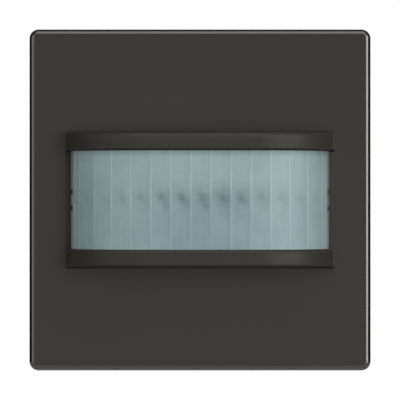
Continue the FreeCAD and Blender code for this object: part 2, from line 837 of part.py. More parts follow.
def cover_screws():
    """Two screws from the flange's rear into the cover's bosses."""
    length = housing_flange_rear - plate_inside + screw_bite - screw_tip_gap
    screws = []
    for x, z in opposite_corners(screw_spacing):
        one = screw(length, screw_shank_radius)
        one.translate(Vector(x, housing_flange_rear, z))
        screws.append(one)
    return Part.makeCompound(screws)


def main():
    os.makedirs("parts", exist_ok=True)
    save("cover_plate", cover_plate())
    save("lens_hood", lens_hood())
    save("fresnel_lens", fresnel_lens())
    save("lens_retainer", lens_retainer())
    save("detector_holder", detector_holder())
    save("detector_can", detector_can())
    save("detector_filter", detector_filter())
    save("detector_leads", detector_leads())
    save("circuit_board", circuit_board())
    save("controller_chip", chip_body(controller_length, controller_width, controller_depth, controller_place))
    save("amplifier_chip", chip_body(amplifier_length, amplifier_width, amplifier_depth, amplifier_place))
    save("chip_leads", chip_leads())
    save("voltage_regulator", voltage_regulator())
    save("chip_resistors", small_parts(resistor_places(), resistor_length, resistor_width, resistor_depth))
    save("chip_capacitors", small_parts(capacitor_places(), capacitor_length, capacitor_width, capacitor_depth))
    save("storage_capacitors", storage_capacitors())
    rear = board_front - resonator_depth
    x, z = resonator_place
    save("resonator", block(around(x, resonator_length), (rear, board_front), around(z, resonator_width)))
    save("status_lamp", status_lamp())
    save("dusk_sensor", dusk_sensor())
    for name, side in (("delay", 1), ("dusk", -1)):
        x = side * trimmer_spacing / 2
        save(name + "_trimmer_body", trimmer_body(x))
        save(name + "_trimmer_rotor", trimmer_rotor(x))
        save(name + "_knob", trimmer_knob(x))
    save("plug_body", plug_body())
    save("plug_pins", plug_pins())
    save("rear_housing", rear_housing())
    save("left_spring_clip", spring_clip(-1))
    save("right_spring_clip", spring_clip(1))
    save("cover_screws", cover_screws())


main()
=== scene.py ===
import bpy
import bmesh
import math
from mathutils import Matrix, Vector


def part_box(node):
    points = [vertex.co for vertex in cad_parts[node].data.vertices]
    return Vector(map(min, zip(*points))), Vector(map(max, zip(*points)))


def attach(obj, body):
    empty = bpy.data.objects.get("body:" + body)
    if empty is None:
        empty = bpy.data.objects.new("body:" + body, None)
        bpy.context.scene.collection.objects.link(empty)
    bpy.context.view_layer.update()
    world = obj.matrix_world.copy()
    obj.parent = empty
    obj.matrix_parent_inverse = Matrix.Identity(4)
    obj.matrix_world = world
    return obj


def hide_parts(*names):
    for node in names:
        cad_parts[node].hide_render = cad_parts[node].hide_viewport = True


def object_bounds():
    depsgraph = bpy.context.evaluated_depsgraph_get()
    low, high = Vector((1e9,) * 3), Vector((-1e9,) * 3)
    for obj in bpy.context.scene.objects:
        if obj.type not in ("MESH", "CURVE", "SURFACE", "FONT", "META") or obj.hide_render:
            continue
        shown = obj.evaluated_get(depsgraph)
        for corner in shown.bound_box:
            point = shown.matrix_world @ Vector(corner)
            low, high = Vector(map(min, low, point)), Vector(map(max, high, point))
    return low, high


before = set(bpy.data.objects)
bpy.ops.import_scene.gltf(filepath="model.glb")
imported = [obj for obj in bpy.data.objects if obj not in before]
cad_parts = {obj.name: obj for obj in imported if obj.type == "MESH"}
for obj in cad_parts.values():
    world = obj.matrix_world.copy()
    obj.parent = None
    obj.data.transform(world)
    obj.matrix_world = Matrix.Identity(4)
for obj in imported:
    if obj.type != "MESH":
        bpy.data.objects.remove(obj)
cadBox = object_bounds()
mm = 0.001
print("frame loaded with", len(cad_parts), "nodes")

# Lengths in the dictionaries are in mm and angles in degrees, where no note says otherwise
meshing = {
    "mergeGap": 0.002,
    "flatAngle": 0.5,  # faces that meet at less than this are joined
    "sharpAngle": 60.0,  # edges that turn by more than this are rounded
    "shadingAngle": 40.0,
    "flatWeight": 100,
    "nearness": 0.01,
    "past": 1.0,  # how far a cutter reaches past what it cuts
}


def copyOfNode(nodeName):  # merged copy of a CAD node, with its flat faces joined
    shape = bmesh.new()
    shape.from_mesh(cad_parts[nodeName].data)
    bmesh.ops.remove_doubles(shape, verts=shape.verts, dist=meshing["mergeGap"] * mm)
    bmesh.ops.dissolve_limit(
        shape, angle_limit=math.radians(meshing["flatAngle"]), verts=shape.verts, edges=shape.edges,
        use_dissolve_boundaries=False,
    )
    return shape


def absorb(whole, part):  # adds a part's faces to a whole
    mesh = bpy.data.meshes.new("absorbed")
    part.to_mesh(mesh)
    part.free()
    whole.from_mesh(mesh)
    bpy.data.meshes.remove(mesh)


def bevelEdges(shape, edges, width, segments):
    bmesh.ops.bevel(
        shape, geom=edges, offset=width * mm, offset_type="OFFSET", segments=segments, profile=0.5,
        affect="EDGES", clamp_overlap=False, material=-1,
    )


def sharpEdges(shape, angle=meshing["sharpAngle"]):  # edges that turn by more than an angle
    limit = math.radians(angle)
    return [e for e in shape.edges if len(e.link_faces) == 2 and e.calc_face_angle(0.0) > limit]


def extrude(shape, faces, way):  # adds a copy of faces, moved by a vector in mm, and the walls between
    made = bmesh.ops.extrude_face_region(shape, geom=faces, use_keep_orig=True)["geom"]
    moved = [item for item in made if isinstance(item, bmesh.types.BMVert)]
    bmesh.ops.translate(shape, verts=moved, vec=Vector(way) * mm)


def addBox(shape, centre, size, turn=0.0):  # turned about Y by an angle in radians
    place = Matrix.Translation(Vector(centre) * mm) @ Matrix.Rotation(turn, 4, "Y")
    place = place @ Matrix.Diagonal((*[value * mm for value in size], 1))
    bmesh.ops.create_cube(shape, size=1.0, matrix=place)


def addPrism(shape, outline, yStart, yEnd):  # prism along Y whose outline is a list of (x, z)
    corners = [shape.verts.new(Vector((x, yStart, z)) * mm) for x, z in outline]
    extrude(shape, [shape.faces.new(corners)], (0, yEnd - yStart, 0))


def carve(shape, cutter, operation="DIFFERENCE"):  # the first closed shape cut by the second
    carving = []
    for item in (shape, cutter):
        bmesh.ops.recalc_face_normals(item, faces=item.faces)
        mesh = bpy.data.meshes.new("carving")
        item.to_mesh(mesh)
        item.free()
        thing = bpy.data.objects.new("carving", mesh)
        bpy.context.scene.collection.objects.link(thing)
        carving.append(thing)
    cut = carving[0].modifiers.new("cut", "BOOLEAN")
    cut.operation = operation
    cut.solver = "EXACT"
    cut.object = carving[1]
    result = bmesh.new()
    result.from_object(carving[0], bpy.context.evaluated_depsgraph_get())
    for thing in carving:
        bpy.data.meshes.remove(thing.data)
    return result


# Makes a shape an object that shades smoothly, rides on its body and stands for its CAD nodes
def finishPiece(shape, name, material, body, nodes=()):
    bmesh.ops.recalc_face_normals(shape, faces=shape.faces)
    mesh = bpy.data.meshes.new(name)
    shape.to_mesh(mesh)
    shape.free()
    mesh.polygons.foreach_set("use_smooth", [True] * len(mesh.polygons))
    mesh.set_sharp_from_angle(angle=math.radians(meshing["shadingAngle"]))
    piece = bpy.data.objects.new(name, mesh)
    bpy.context.scene.collection.objects.link(piece)
    mesh.materials.append(material)
    weighted = piece.modifiers.new("evenNormals", "WEIGHTED_NORMAL")  # flats stay flat beside rounded edges
    weighted.mode = "FACE_AREA"
    weighted.weight = meshing["flatWeight"]
    weighted.keep_sharp = True
    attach(piece, body)
    if nodes:
        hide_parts(*nodes)


def feed(tree, node, inputs):  # links sockets to a node's inputs and sets its other ones
    for key, value in inputs.items():
        if isinstance(value, bpy.types.NodeSocket):
            tree.links.new(value, node.inputs[key])
        else:
            node.inputs[key].default_value = value


def put(tree, kind, inputs=None, **settings):  # adds a node with its options and inputs
    node = tree.nodes.new(kind)
    for key, value in settings.items():
        setattr(node, key, value)
    feed(tree, node, inputs or {})
    return node


def calc(tree, operation, *values):  # math node on sockets or numbers
    return put(tree, "ShaderNodeMath", dict(enumerate(values)), operation=operation).outputs[0]


def plus(tree, first, *others):
    for value in others:
        first = calc(tree, "ADD", first, value)
    return first


def minus(tree, first, second):
    return calc(tree, "SUBTRACT", first, second)


def times(tree, first, *others):
    for value in others:
        first = calc(tree, "MULTIPLY", first, value)
    return first


def bell(tree, value, width):  # soft bump of height 1 where the value is zero
    square = calc(tree, "POWER", calc(tree, "DIVIDE", value, width), 2.0)
    return calc(tree, "EXPONENT", times(tree, square, -1.0))


# Smooth change from one value to another while the input goes from low to high
def ramp(tree, value, low, high, newLow=0.0, newHigh=1.0):
    inputs = {"Value": value, "From Min": low, "From Max": high, "To Min": newLow, "To Max": newHigh}
    return put(tree, "ShaderNodeMapRange", inputs, interpolation_type="SMOOTHSTEP").outputs[0]


def raised(tree, mask, least):  # mask that goes from a least value to 1 instead of from 0
    return plus(tree, times(tree, mask, 1.0 - least), least)


def noise(tree, vector, scale, detail=3.0):  # noise about zero, from -0.5 to 0.5
    made = put(tree, "ShaderNodeTexNoise", {"Vector": vector, "Scale": scale, "Detail": detail})
    return minus(tree, made.outputs[0], 0.5)


def stretched(tree, vector, factors):
    return put(tree, "ShaderNodeVectorMath", {0: vector, 1: factors}, operation="MULTIPLY").outputs[0]


def axes(tree, vector):  # its X, Y and Z
    return put(tree, "ShaderNodeSeparateXYZ", {0: vector}).outputs


def blendColour(tree, factor, first, second):  # inputs 6 and 7 are the Mix node's colours
    return put(tree, "ShaderNodeMix", {0: factor, 6: first, 7: second}, data_type="RGBA").outputs[2]


def toned(tree, colour, tone, saturation=1.0):
    inputs = {"Value": tone, "Saturation": saturation, "Color": colour}
    return put(tree, "ShaderNodeHueSaturation", inputs).outputs[0]


def bump(tree, height, strength, depth):
    inputs = {"Height": height, "Strength": strength, "Distance": depth * mm}
    return put(tree, "ShaderNodeBump", inputs).outputs[0]


# Shader group that makes a colour, a roughness and a relief from a place, a colour and its own inputs
def newGroup(name, ownInputs):
    group = bpy.data.node_groups.new(name, "ShaderNodeTree")
    inputs = {"Where": ("Vector", (0, 0, 0)), "Colour": ("Color", (0.5, 0.5, 0.5, 1)), **ownInputs}
    for label, (kind, value) in inputs.items():
        socket = group.interface.new_socket(label, in_out="INPUT", socket_type="NodeSocket" + kind)
        socket.default_value = value
    for label, kind in (("Colour", "Color"), ("Roughness", "Float"), ("Height", "Float")):
        group.interface.new_socket(label, in_out="OUTPUT", socket_type="NodeSocket" + kind)
    return group, group.nodes.new("NodeGroupInput").outputs


def endGroup(group, colour, tone, roughness, height):
    shade = toned(group, colour, plus(group, tone, 1.0))
    put(group, "NodeGroupOutput", {"Colour": shade, "Roughness": roughness, "Height": height})
    return group


mould = {
    "unevenness": 0.08,
    "patch": 120.0,
    "grain": 5000.0,
    "gloss": 0.4,
    "grainTone": 0.12,
    "toneGloss": 0.5,
    "depth": 0.02,
}
rolled = {
    "lines": (400, 6000, 6000),
    "stain": 0.2,
    "gloss": 0.3,
    "stainScale": 300.0,
    "lineGloss": 0.3,
    "depth": 0.005,
}
reliefStrength = 0.3


def mouldGrainGroup():  # fine grain of moulded plastic with a slight unevenness of tone and gloss
    group, given = newGroup("mouldGrain", {
        "Unevenness": ("Float", mould["unevenness"]),
        "Patch": ("Float", mould["patch"]),
        "Grain": ("Float", mould["grain"]),
        "Gloss": ("Float", mould["gloss"]),
    })
    grain = noise(group, given["Where"], given["Grain"], 2.0)
    tone = times(group, noise(group, given["Where"], given["Patch"]), given["Unevenness"])
    tone = plus(group, tone, times(group, grain, mould["grainTone"]))
    roughness = plus(group, given["Gloss"], times(group, tone, mould["toneGloss"]))
    return endGroup(group, given["Colour"], tone, roughness, grain)


def rolledMetalGroup():  # drawn lines and faint stains of rolled or plated metal
    group, given = newGroup("rolledMetal", {
        "Lines": ("Vector", rolled["lines"]),
        "Stain": ("Float", rolled["stain"]),
        "Gloss": ("Float", rolled["gloss"]),
    })
    line = noise(group, stretched(group, given["Where"], given["Lines"]), 1.0, 4.0)
    tone = times(group, noise(group, given["Where"], rolled["stainScale"], 4.0), given["Stain"])
    roughness = plus(group, given["Gloss"], times(group, line, rolled["lineGloss"]))
    return endGroup(group, given["Colour"], tone, roughness, line)


mouldGrain = mouldGrainGroup()
rolledMetal = rolledMetalGroup()


def newMaterial(name):  # with its tree, its shader and the object coordinates
    material = bpy.data.materials.new(name)
    material.use_nodes = True
    tree = material.node_tree
    where = put(tree, "ShaderNodeTexCoord").outputs["Object"]
    return material, tree, tree.nodes["Principled BSDF"], where


# Material with a shader group's colour, roughness and relief; its constants are the shader's own inputs
def surfaceFrom(group, name, colour, depth, inputs, constants):
    material, tree, shader, where = newMaterial(name)
    inputs = {"Where": where, "Colour": (*colour, 1), **inputs}
    effect = put(tree, "ShaderNodeGroup", inputs, node_tree=group)
    shade, roughness, height = [effect.outputs[label] for label in ("Colour", "Roughness", "Height")]
    normal = bump(tree, height, reliefStrength, depth)
    feed(tree, shader, {"Base Color": shade, "Roughness": roughness, "Normal": normal, **constants})
    return material, tree, shader, where, shade


def mouldedPlastic(name, colour, gloss, unevenness=mould["unevenness"]):
    inputs = {"Unevenness": unevenness, "Gloss": gloss}
    return surfaceFrom(mouldGrain, name, colour, mould["depth"], inputs, {})


def platedMetal(name, colour, gloss):
    return surfaceFrom(rolledMetal, name, colour, rolled["depth"], {"Gloss": gloss}, {"Metallic": 1.0})


cover = {
    "colour": (0.0384, 0.0360, 0.0304),
    "paintedShadeColour": (0.004, 0.004, 0.004, 1),
    "unevenness": 0.04,
    "grain": 4200.0,
    "grainDepth": 0.01,
    "gloss": 0.15,
    "mirror": 0.5,
    "rimShade": 0.85,
    "rimFacing": 0.62,  # how far the darkest part of the painted rim shade faces the front
    "rimSpread": 0.26,
    "rimDepth": (-0.3, -0.05),  # the painted dark line sets in between these, where 0 is the plate's front
    "bareHeight": 28.0,  # above and below this nothing stands on the plate
    "cornerRound": 1.65,
    "cornerSegments": 10,
    "edgeRound": 0.99,
    "edgeSegments": 7,
    "lugReach": 4.66,
    "innerRound": 0.12,
    "innerDepth": 1.5,
    "endGapClosed": 0.1,
    "wallFrom": 24.5,  # the window's end walls lie within these four
    "wallTo": 25.3,
    "wallHalf": 12.6,
    "wallDepth": 2.3,
}

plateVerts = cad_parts["cover_plate"].data.vertices
plateFront = min(v.co.y for v in plateVerts if abs(v.co.z) > cover["bareHeight"] * mm)


def anthracitePlastic(name, gloss, mirror, paintedLight=1.0):
    # a factor above 1 makes the colour lighter, as painted light
    colour = [value * paintedLight for value in cover["colour"]]
    inputs = {"Unevenness": cover["unevenness"], "Grain": cover["grain"], "Gloss": gloss}
    constants = {"Specular IOR Level": mirror}
    return surfaceFrom(mouldGrain, name, colour, cover["grainDepth"], inputs, constants)


def directions(tree):  # how far a surface faces right, away from the camera's side and up
    return axes(tree, put(tree, "ShaderNodeNewGeometry").outputs["Normal"])


def silkyPlastic():  # the plate's, with a painted dark shade line round its rim
    made = anthracitePlastic("silkyPlastic", cover["gloss"], cover["mirror"])
    material, tree, shader, where, colour = made
    onPlate = ramp(tree, axes(tree, where)[1], *[plateFront + depth * mm for depth in cover["rimDepth"]])
    # painted shade: the rim's edge is darkened by the way it faces
    rim = bell(tree, plus(tree, directions(tree)[1], cover["rimFacing"]), cover["rimSpread"])
    rim = times(tree, rim, onPlate, cover["rimShade"])
    feed(tree, shader, {"Base Color": blendColour(tree, rim, colour, cover["paintedShadeColour"])})
    return material


def roundedPlate():  # block with the plate's rounded corners and front edge, and room in front for its lugs
    low, high = [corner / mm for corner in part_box("cover_plate")]
    front, rear = plateFront / mm, high.y + meshing["past"]
    near = meshing["nearness"] * mm
    shape = bmesh.new()
    addBox(shape, (0, (front + rear) / 2, 0), (high.x - low.x, rear - front, high.z - low.z))
    along = [e for e in shape.edges if abs(e.verts[0].co.y - e.verts[1].co.y) > near]
    bevelEdges(shape, along, cover["cornerRound"], cover["cornerSegments"])
    rim = [e for e in shape.edges if all(abs(v.co.y - plateFront) < near for v in e.verts)]
    bevelEdges(shape, rim, cover["edgeRound"], cover["edgeSegments"])
    flat = min(shape.faces, key=lambda face: face.normal.y)
    extrude(shape, [flat], (0, -cover["lugReach"], 0))
    bmesh.ops.delete(shape, geom=[flat], context="FACES")
    return shape


def narrowEndGaps(shape):  # the window meets the ends of the hood with hardly a gap
    depth = plateFront + cover["wallDepth"] * mm
    for vert in shape.verts:
        walls = [abs(face.normal.x) for face in vert.link_faces if abs(face.normal.y) < 0.5]
        atEnd = cover["wallFrom"] * mm < abs(vert.co.x) < cover["wallTo"] * mm
        inside = abs(vert.co.z) < cover["wallHalf"] * mm and vert.co.y < depth
        if walls and atEnd and inside:
            vert.co.x -= math.copysign(max(walls) * cover["endGapClosed"] * mm, vert.co.x)


def coverPiece():
    shape = copyOfNode("cover_plate")
    narrowEndGaps(shape)
    depth = plateFront + cover["innerDepth"] * mm
    inner = [e for e in sharpEdges(shape) if all(v.co.y > depth for v in e.verts)]
    bevelEdges(shape, inner, cover["innerRound"], 2)
    shape = carve(shape, roundedPlate(), "INTERSECT")
    finishPiece(shape, "coverShell", silkyPlastic(), "root", ["cover_plate"])


coverPiece()

hood = {
    "gloss": 0.42,
    "mirror": 0.078,
    "paintedHighlight": 0.04,
    "highlightColour": (0.3, 0.3, 0.28, 1),
    "highlightWidth": 0.95,
    "highlightFade": 0.25,
    "highlightTilt": (0.05, 0.35),  # how far up a surface faces where the painted highlight begins and is full
    "highlightTurn": 0.5,
    "underTilt": (-0.12, -0.82),
    "underShade": 0.88,
    "crownDepth": 4.0,
    "roofDraft": 1.5,
    "roofRound": 0.8,
    "endRound": 0.28,
    "tightFrom": 0.8,  # how far an end wall faces sideways where the roof's edge begins to tighten
    "tightOver": 0.17,
    "edgeBelow": 0.84,
    "edgeAbove": 0.2,
    "shellHalf": 25.2,  # the flange behind the plate lies beyond these two
    "shellDepth": 2.3,
    "rimAhead": 0.3,
    "frontRound": 0.5,
    "frontSegments": 4,
    "innerRound": 0.2,
}


def roofHeight():  # of the hood's roof at its front
    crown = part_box("lens_hood")[0].y
    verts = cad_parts["lens_hood"].data.vertices
    return max(v.co.z for v in verts if v.co.y < crown + hood["crownDepth"] * mm)


def mattPlastic():  # the hood's, with a painted highlight on its upper edges and painted shade on its underside
    material, tree, shader, where, colour = anthracitePlastic("mattPlastic", hood["gloss"], hood["mirror"])
    normal = directions(tree)
    sideways, upward = normal[0], normal[2]
    # painted highlight along the roof's upper edge and on what faces up, fading where the hood turns
    # sideways
    edge = roofHeight() - hood["highlightWidth"] * mm
    onEdge = ramp(tree, axes(tree, where)[2], edge - hood["highlightFade"] * mm, edge)
    paintedHighlight = calc(tree, "MAXIMUM", ramp(tree, upward, *hood["highlightTilt"]), onEdge)
    paintedHighlight = times(tree, paintedHighlight, bell(tree, sideways, hood["highlightTurn"]), hood["paintedHighlight"])
    # painted shade on what faces down
    under = ramp(tree, upward, *hood["underTilt"], 0.0, hood["underShade"])
    shade = blendColour(tree, paintedHighlight, colour, hood["highlightColour"])
    feed(tree, shader, {"Base Color": blendColour(tree, under, shade, cover["paintedShadeColour"])})
    return material


def facesOutward(face):  # true on the hood's upright outer side
    centre = face.calc_center_median()
    away = Vector((centre.x, centre.y - plateFront, 0))
    return abs(face.normal.z) < 0.5 and face.normal.dot(away) > 0


def tightening(normal, up):  # how far a vertex of the roof's soft edge moves, by the way it faces
    shift = (hood["roofRound"] - hood["endRound"]) * mm
    level = Vector((normal.x, normal.y, 0))
    outward = level.normalized()
    weight = min(1.0, max(0.0, (abs(outward.x) - hood["tightFrom"]) / hood["tightOver"]))
    return (outward * (1 - level.length) + up * (1 - abs(normal.z))) * shift * weight


def tightenEnds(shape):  # the roof's soft edge runs into tighter corners at the hood's ends
    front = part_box("lens_hood")[0].y + hood["crownDepth"] * mm
    height = roofHeight()
    slope = math.tan(math.radians(hood["roofDraft"]))
    depth = plateFront + hood["shellDepth"] * mm
    moves = []
    for vert in shape.verts:
        above = abs(vert.co.z) - height - (vert.co.y - front) * slope
        nearEdge = -hood["edgeBelow"] * mm < above < hood["edgeAbove"] * mm
        inFront = abs(vert.co.x) < hood["shellHalf"] * mm and vert.co.y < depth
        walls = [face.normal for face in vert.link_faces if abs(face.normal.y) < 0.9]
        if walls and nearEdge and inFront:
            up = Vector((0, 0, math.copysign(1.0, vert.co.z)))
            moves.append((vert, tightening(sum(walls, Vector()).normalized(), up)))
    for vert, move in moves:
        vert.co += move


def hoodPiece():
    shape = copyOfNode("lens_hood")
    tightenEnds(shape)
    depth = plateFront - hood["rimAhead"] * mm
    edges = [e for e in sharpEdges(shape) if all(v.co.y < depth for v in e.verts)]
    outer = [e for e in edges if any(facesOutward(face) for face in e.link_faces)]
    inner = [e for e in edges if e not in outer]
    bevelEdges(shape, outer, hood["frontRound"], hood["frontSegments"])
    bevelEdges(shape, inner, hood["innerRound"], 2)
    finishPiece(shape, "hoodShell", mattPlastic(), "root", ["lens_hood"])


hoodPiece()

ridge = {
    "foot": 24.84,
    "top": 23.79,
    "rise": 0.14,
    "sink": 0.1,
    "half": 9.0,
    "paintedLight": 1.47,
    "gloss": 0.6,
    "mirror": 0.01,
}


def ridgePiece():  # low sloping ridge at each side of the lens, from the roof to the floor, in the plate's plastic made lighter as painted light
    shape = bmesh.new()
    front = plateFront / mm
    foot, top, sunk = ridge["foot"], ridge["top"], front + ridge["sink"]
    outline = [(foot, front), (top, front - ridge["rise"]), (top, sunk), (foot, sunk)]
    for side in (-1, 1):
        corners = [shape.verts.new(Vector((side * x, y, -ridge["half"])) * mm) for x, y in outline]
        extrude(shape, [shape.faces.new(corners)], (0, 0, 2 * ridge["half"]))
    # painted light: the plate's plastic made lighter
    material = anthracitePlastic("ridgePlastic", ridge["gloss"], ridge["mirror"], ridge["paintedLight"])[0]
    finishPiece(shape, "lensRidges", material, "root")


ridgePiece()
print("cover and hood made")

lens = {
    "facetCount": 15,
    "facetWidth": 3.6,
    "patternShift": 0.15,
    "crownHalf": 10.295,
    "shoulderRadius": 16.75,
    "shoulderTurn": 50.0,
    "edgeRadius": 2.55,
    "sideTurn": 86.0,
    "slotFront": 5.0,  # ahead of the plate's front
    "slotClosed": 0.33,
    "slotLow": 1.05,
    "slotHeight": 0.85,
    "stripLow": 2.5,  # where on the lens the strips for the slots are copied
    "stripMiddle": 23.5,
    "stripWidth": 5.0,
}


# Distance in mm along the lens from its middle, for a point on or near its outer side
def planDistance(point, crownY):
    x = abs(point.x) / mm
    y = (point.y - crownY) / mm
    if x <= lens["crownHalf"]:
        return math.copysign(x, point.x)
    turn = math.atan2(x - lens["crownHalf"], lens["shoulderRadius"] - y)
    shoulder = math.radians(lens["shoulderTurn"])
    if turn <= shoulder:
        return math.copysign(lens["crownHalf"] + turn * lens["shoulderRadius"], point.x)
    step = lens["shoulderRadius"] - lens["edgeRadius"]
    centreX = lens["crownHalf"] + step * math.sin(shoulder)
    centreY = lens["shoulderRadius"] - step * math.cos(shoulder)
    turn = min(math.atan2(x - centreX, centreY - y), math.radians(lens["sideTurn"]))
    along = max(0.0, y - centreY) if turn >= math.radians(lens["sideTurn"]) else 0.0
    arc = lens["crownHalf"] + shoulder * lens["shoulderRadius"] + (turn - shoulder) * lens["edgeRadius"]
    return math.copysign(arc + along, point.x)


# A ramp is where it starts and ends, and then its values there where they aren't 0 and 1
milky = {
    "upperColour": (0.312, 0.412, 0.415, 1),
    "lowerColour": (0.246, 0.340, 0.358, 1),
    "gloss": 0.48,
    "streakGloss": 0.08,
    "mirror": 0.18,
    "reliefDepth": 0.02,
    "reliefStrength": 0.2,
    "ringRelief": 0.15,
    "ringPitch": 0.45,
    "opticalHeight": 0.5,
    "lowerRamp": (-3.0, 4.5, 1.0, 0.0),  # this and the next four are over the height
    "bandTop": (2.9, 4.1, 1.0, 0.3),
    "paintedRoofShadow": (7.4, 9.1, 0.0, 0.33),
    "paintedLightOverFloor": (-9.1, -8.2, 0.08, 0.0),
    "cornerShadowHeight": (3.0, 9.0),
    "cornerShadowAcross": (12.8, 14.6, 0.0, 0.18),  # this and the next three are over facets from the left
    "roofShadowAcross": (0.5, 3.5, 0.2, 1.0),
    "paintedLightRightward": (5.0, 12.0, 1.0, 1.06),
    "paintedShadeRightEnd": (12.2, 14.8, 1.0, 0.86),
    "pale": (21.6, 23.2, 1.0, 0.66),  # this and the next two are over the distance from the middle
    "paintedShadeAtEnds": (22.9, 23.7, 1.0, 0.7),
    "paintedShadeRightBrink": (22.9, 23.6, 1.0, 0.63),
    "wallRamp": (0.44, 0.485),  # this and the next two are shares of a facet's width
    "groovePlace": 0.415,
    "grooveWidth": 0.03,
    "middleFacet": 7.0,
    "middleSpread": 3.2,
    "facetStep": 7.3,  # keeps the noise of a facet from running on in the next
    "sidewaysNoise": (0.9, 1.1),  # scale and size
    "levelNoise": (1.1, 2.2),
    "levelTilt": 0.9,
    "bandLevel": 0.6,
    "bandWidth": 2.4,
    "speckleScale": 3.2,
    "speckle": 1.6,
    "spotsAtEnds": 0.28,
    "spots": [
        {"place": (0.2, 0.0), "size": (1.1, 1.1), "strength": 1.0},
        {"place": (0.15, 0.0), "size": (0.55, 0.55), "strength": 0.6},
        {"place": (0.95, -1.3), "size": (0.5, 1.2), "strength": 0.5},
    ],
    "streakStretch": (5.0, 0.14, 1.0),
    "cloudStretch": (0.9, 0.22, 1.0),
    "lowerCloud": -1.2,
    "lowerAtEnds": 0.25,
    "wallTone": 0.1,
    "wallStreaks": 0.3,
    "wallGlow": 0.14,
    "wallGlowHeight": 4.5,
    "tones": {  # what each pattern adds to the tone
        "band": -0.145,
        "spots": -0.2,
        "groove": -0.05,
        "rings": 0.01,
        "streaks": 0.13,
        "cloud": 0.16,
        "chance": 0.04,
        "inFacet": -0.05,
    },
}


def smudge(tree, sideways, level, spot):  # soft oval spot
    beside = bell(tree, minus(tree, sideways, spot["place"][0]), spot["size"][0])
    beyond = bell(tree, minus(tree, level, spot["place"][1]), spot["size"][1])
    return times(tree, beside, beyond, spot["strength"])


def lensPatterns(tree, across, height):  # masks and noises of the facets by name
    made = {"inFacet": minus(tree, calc(tree, "FRACT", across), 0.5)}
    facet = calc(tree, "FLOOR", across)
    chance = put(tree, "ShaderNodeTexWhiteNoise", {"W": facet}, noise_dimensions="1D").outputs["Value"]
    made["chance"] = minus(tree, chance, 0.5)
    made["middle"] = bell(tree, minus(tree, facet, milky["middleFacet"]), milky["middleSpread"])
    made["level"] = minus(tree, height, milky["opticalHeight"])
    made["wall"] = ramp(tree, calc(tree, "ABSOLUTE", made["inFacet"]), *milky["wallRamp"])
    # painted shadow: a thin dark line beside each facet's wall
    made["groove"] = bell(tree, minus(tree, made["inFacet"], milky["groovePlace"]), milky["grooveWidth"])
    inputs = {0: across, 1: height, 2: times(tree, facet, milky["facetStep"])}
    own = put(tree, "ShaderNodeCombineXYZ", inputs).outputs[0]
    made["streaks"] = noise(tree, stretched(tree, own, milky["streakStretch"]), 1.0, 2.0)
    made["cloud"] = noise(tree, stretched(tree, own, milky["cloudStretch"]), 1.0, 2.0)

    scale, size = milky["sidewaysNoise"]
    sideways = times(tree, made["inFacet"], lens["facetWidth"])
    sideways = plus(tree, sideways, times(tree, noise(tree, own, scale), size))
    scale, size = milky["levelNoise"]
    wavy = plus(tree, made["level"], times(tree, noise(tree, own, scale), size))
    wavy = plus(tree, wavy, times(tree, made["inFacet"], milky["levelTilt"]))
    band = bell(tree, minus(tree, wavy, milky["bandLevel"]), milky["bandWidth"])
    made["band"] = times(tree, band, made["middle"], ramp(tree, height, *milky["bandTop"]))
    spots = plus(tree, *[smudge(tree, sideways, wavy, spot) for spot in milky["spots"]])
    speckle = plus(tree, times(tree, noise(tree, own, milky["speckleScale"], 4.0), milky["speckle"]), 1.0)
    made["spots"] = times(tree, spots, speckle, raised(tree, made["middle"], milky["spotsAtEnds"]))

    squares = [calc(tree, "POWER", value, 2.0) for value in (sideways, made["level"])]
    radius = calc(tree, "SQRT", plus(tree, *squares))
    made["rings"] = calc(tree, "SINE", times(tree, radius, 2 * math.pi / milky["ringPitch"]))
    return made


def lensTone(tree, made, across, height, side):  # how light the lens is, with painted shadow and painted light in its tone
    wallTone = plus(
        tree, milky["wallTone"],
        times(tree, made["streaks"], milky["wallStreaks"]),
        times(tree, bell(tree, made["level"], milky["wallGlowHeight"]), milky["wallGlow"]),
    )
    tone = plus(tree, times(tree, made["wall"], wallTone), 1.0)
    for name, size in milky["tones"].items():
        tone = plus(tree, tone, times(tree, made[name], size))
    # painted shadow of the roof along the lens's top, weaker at the left end
    paintedRoofShadow = ramp(tree, height, *milky["paintedRoofShadow"])
    paintedRoofShadow = times(tree, paintedRoofShadow, ramp(tree, across, *milky["roofShadowAcross"]))
    # painted shadow, deeper and longer, in the right top corner
    corner = ramp(tree, height, *milky["cornerShadowHeight"])
    corner = times(tree, corner, ramp(tree, across, *milky["cornerShadowAcross"]))
    # painted light along the lens's bottom edge
    tone = plus(tree, tone, ramp(tree, height, *milky["paintedLightOverFloor"]))
    tone = minus(tree, tone, plus(tree, paintedRoofShadow, corner))
    # painted shade at both ends and more at the right end, and painted light growing towards the right
    return times(
        tree, tone,
        ramp(tree, calc(tree, "ABSOLUTE", side), *milky["paintedShadeAtEnds"]),
        ramp(tree, side, *milky["paintedShadeRightBrink"]),
        ramp(tree, across, *milky["paintedLightRightward"]),
        ramp(tree, across, *milky["paintedShadeRightEnd"]),
    )


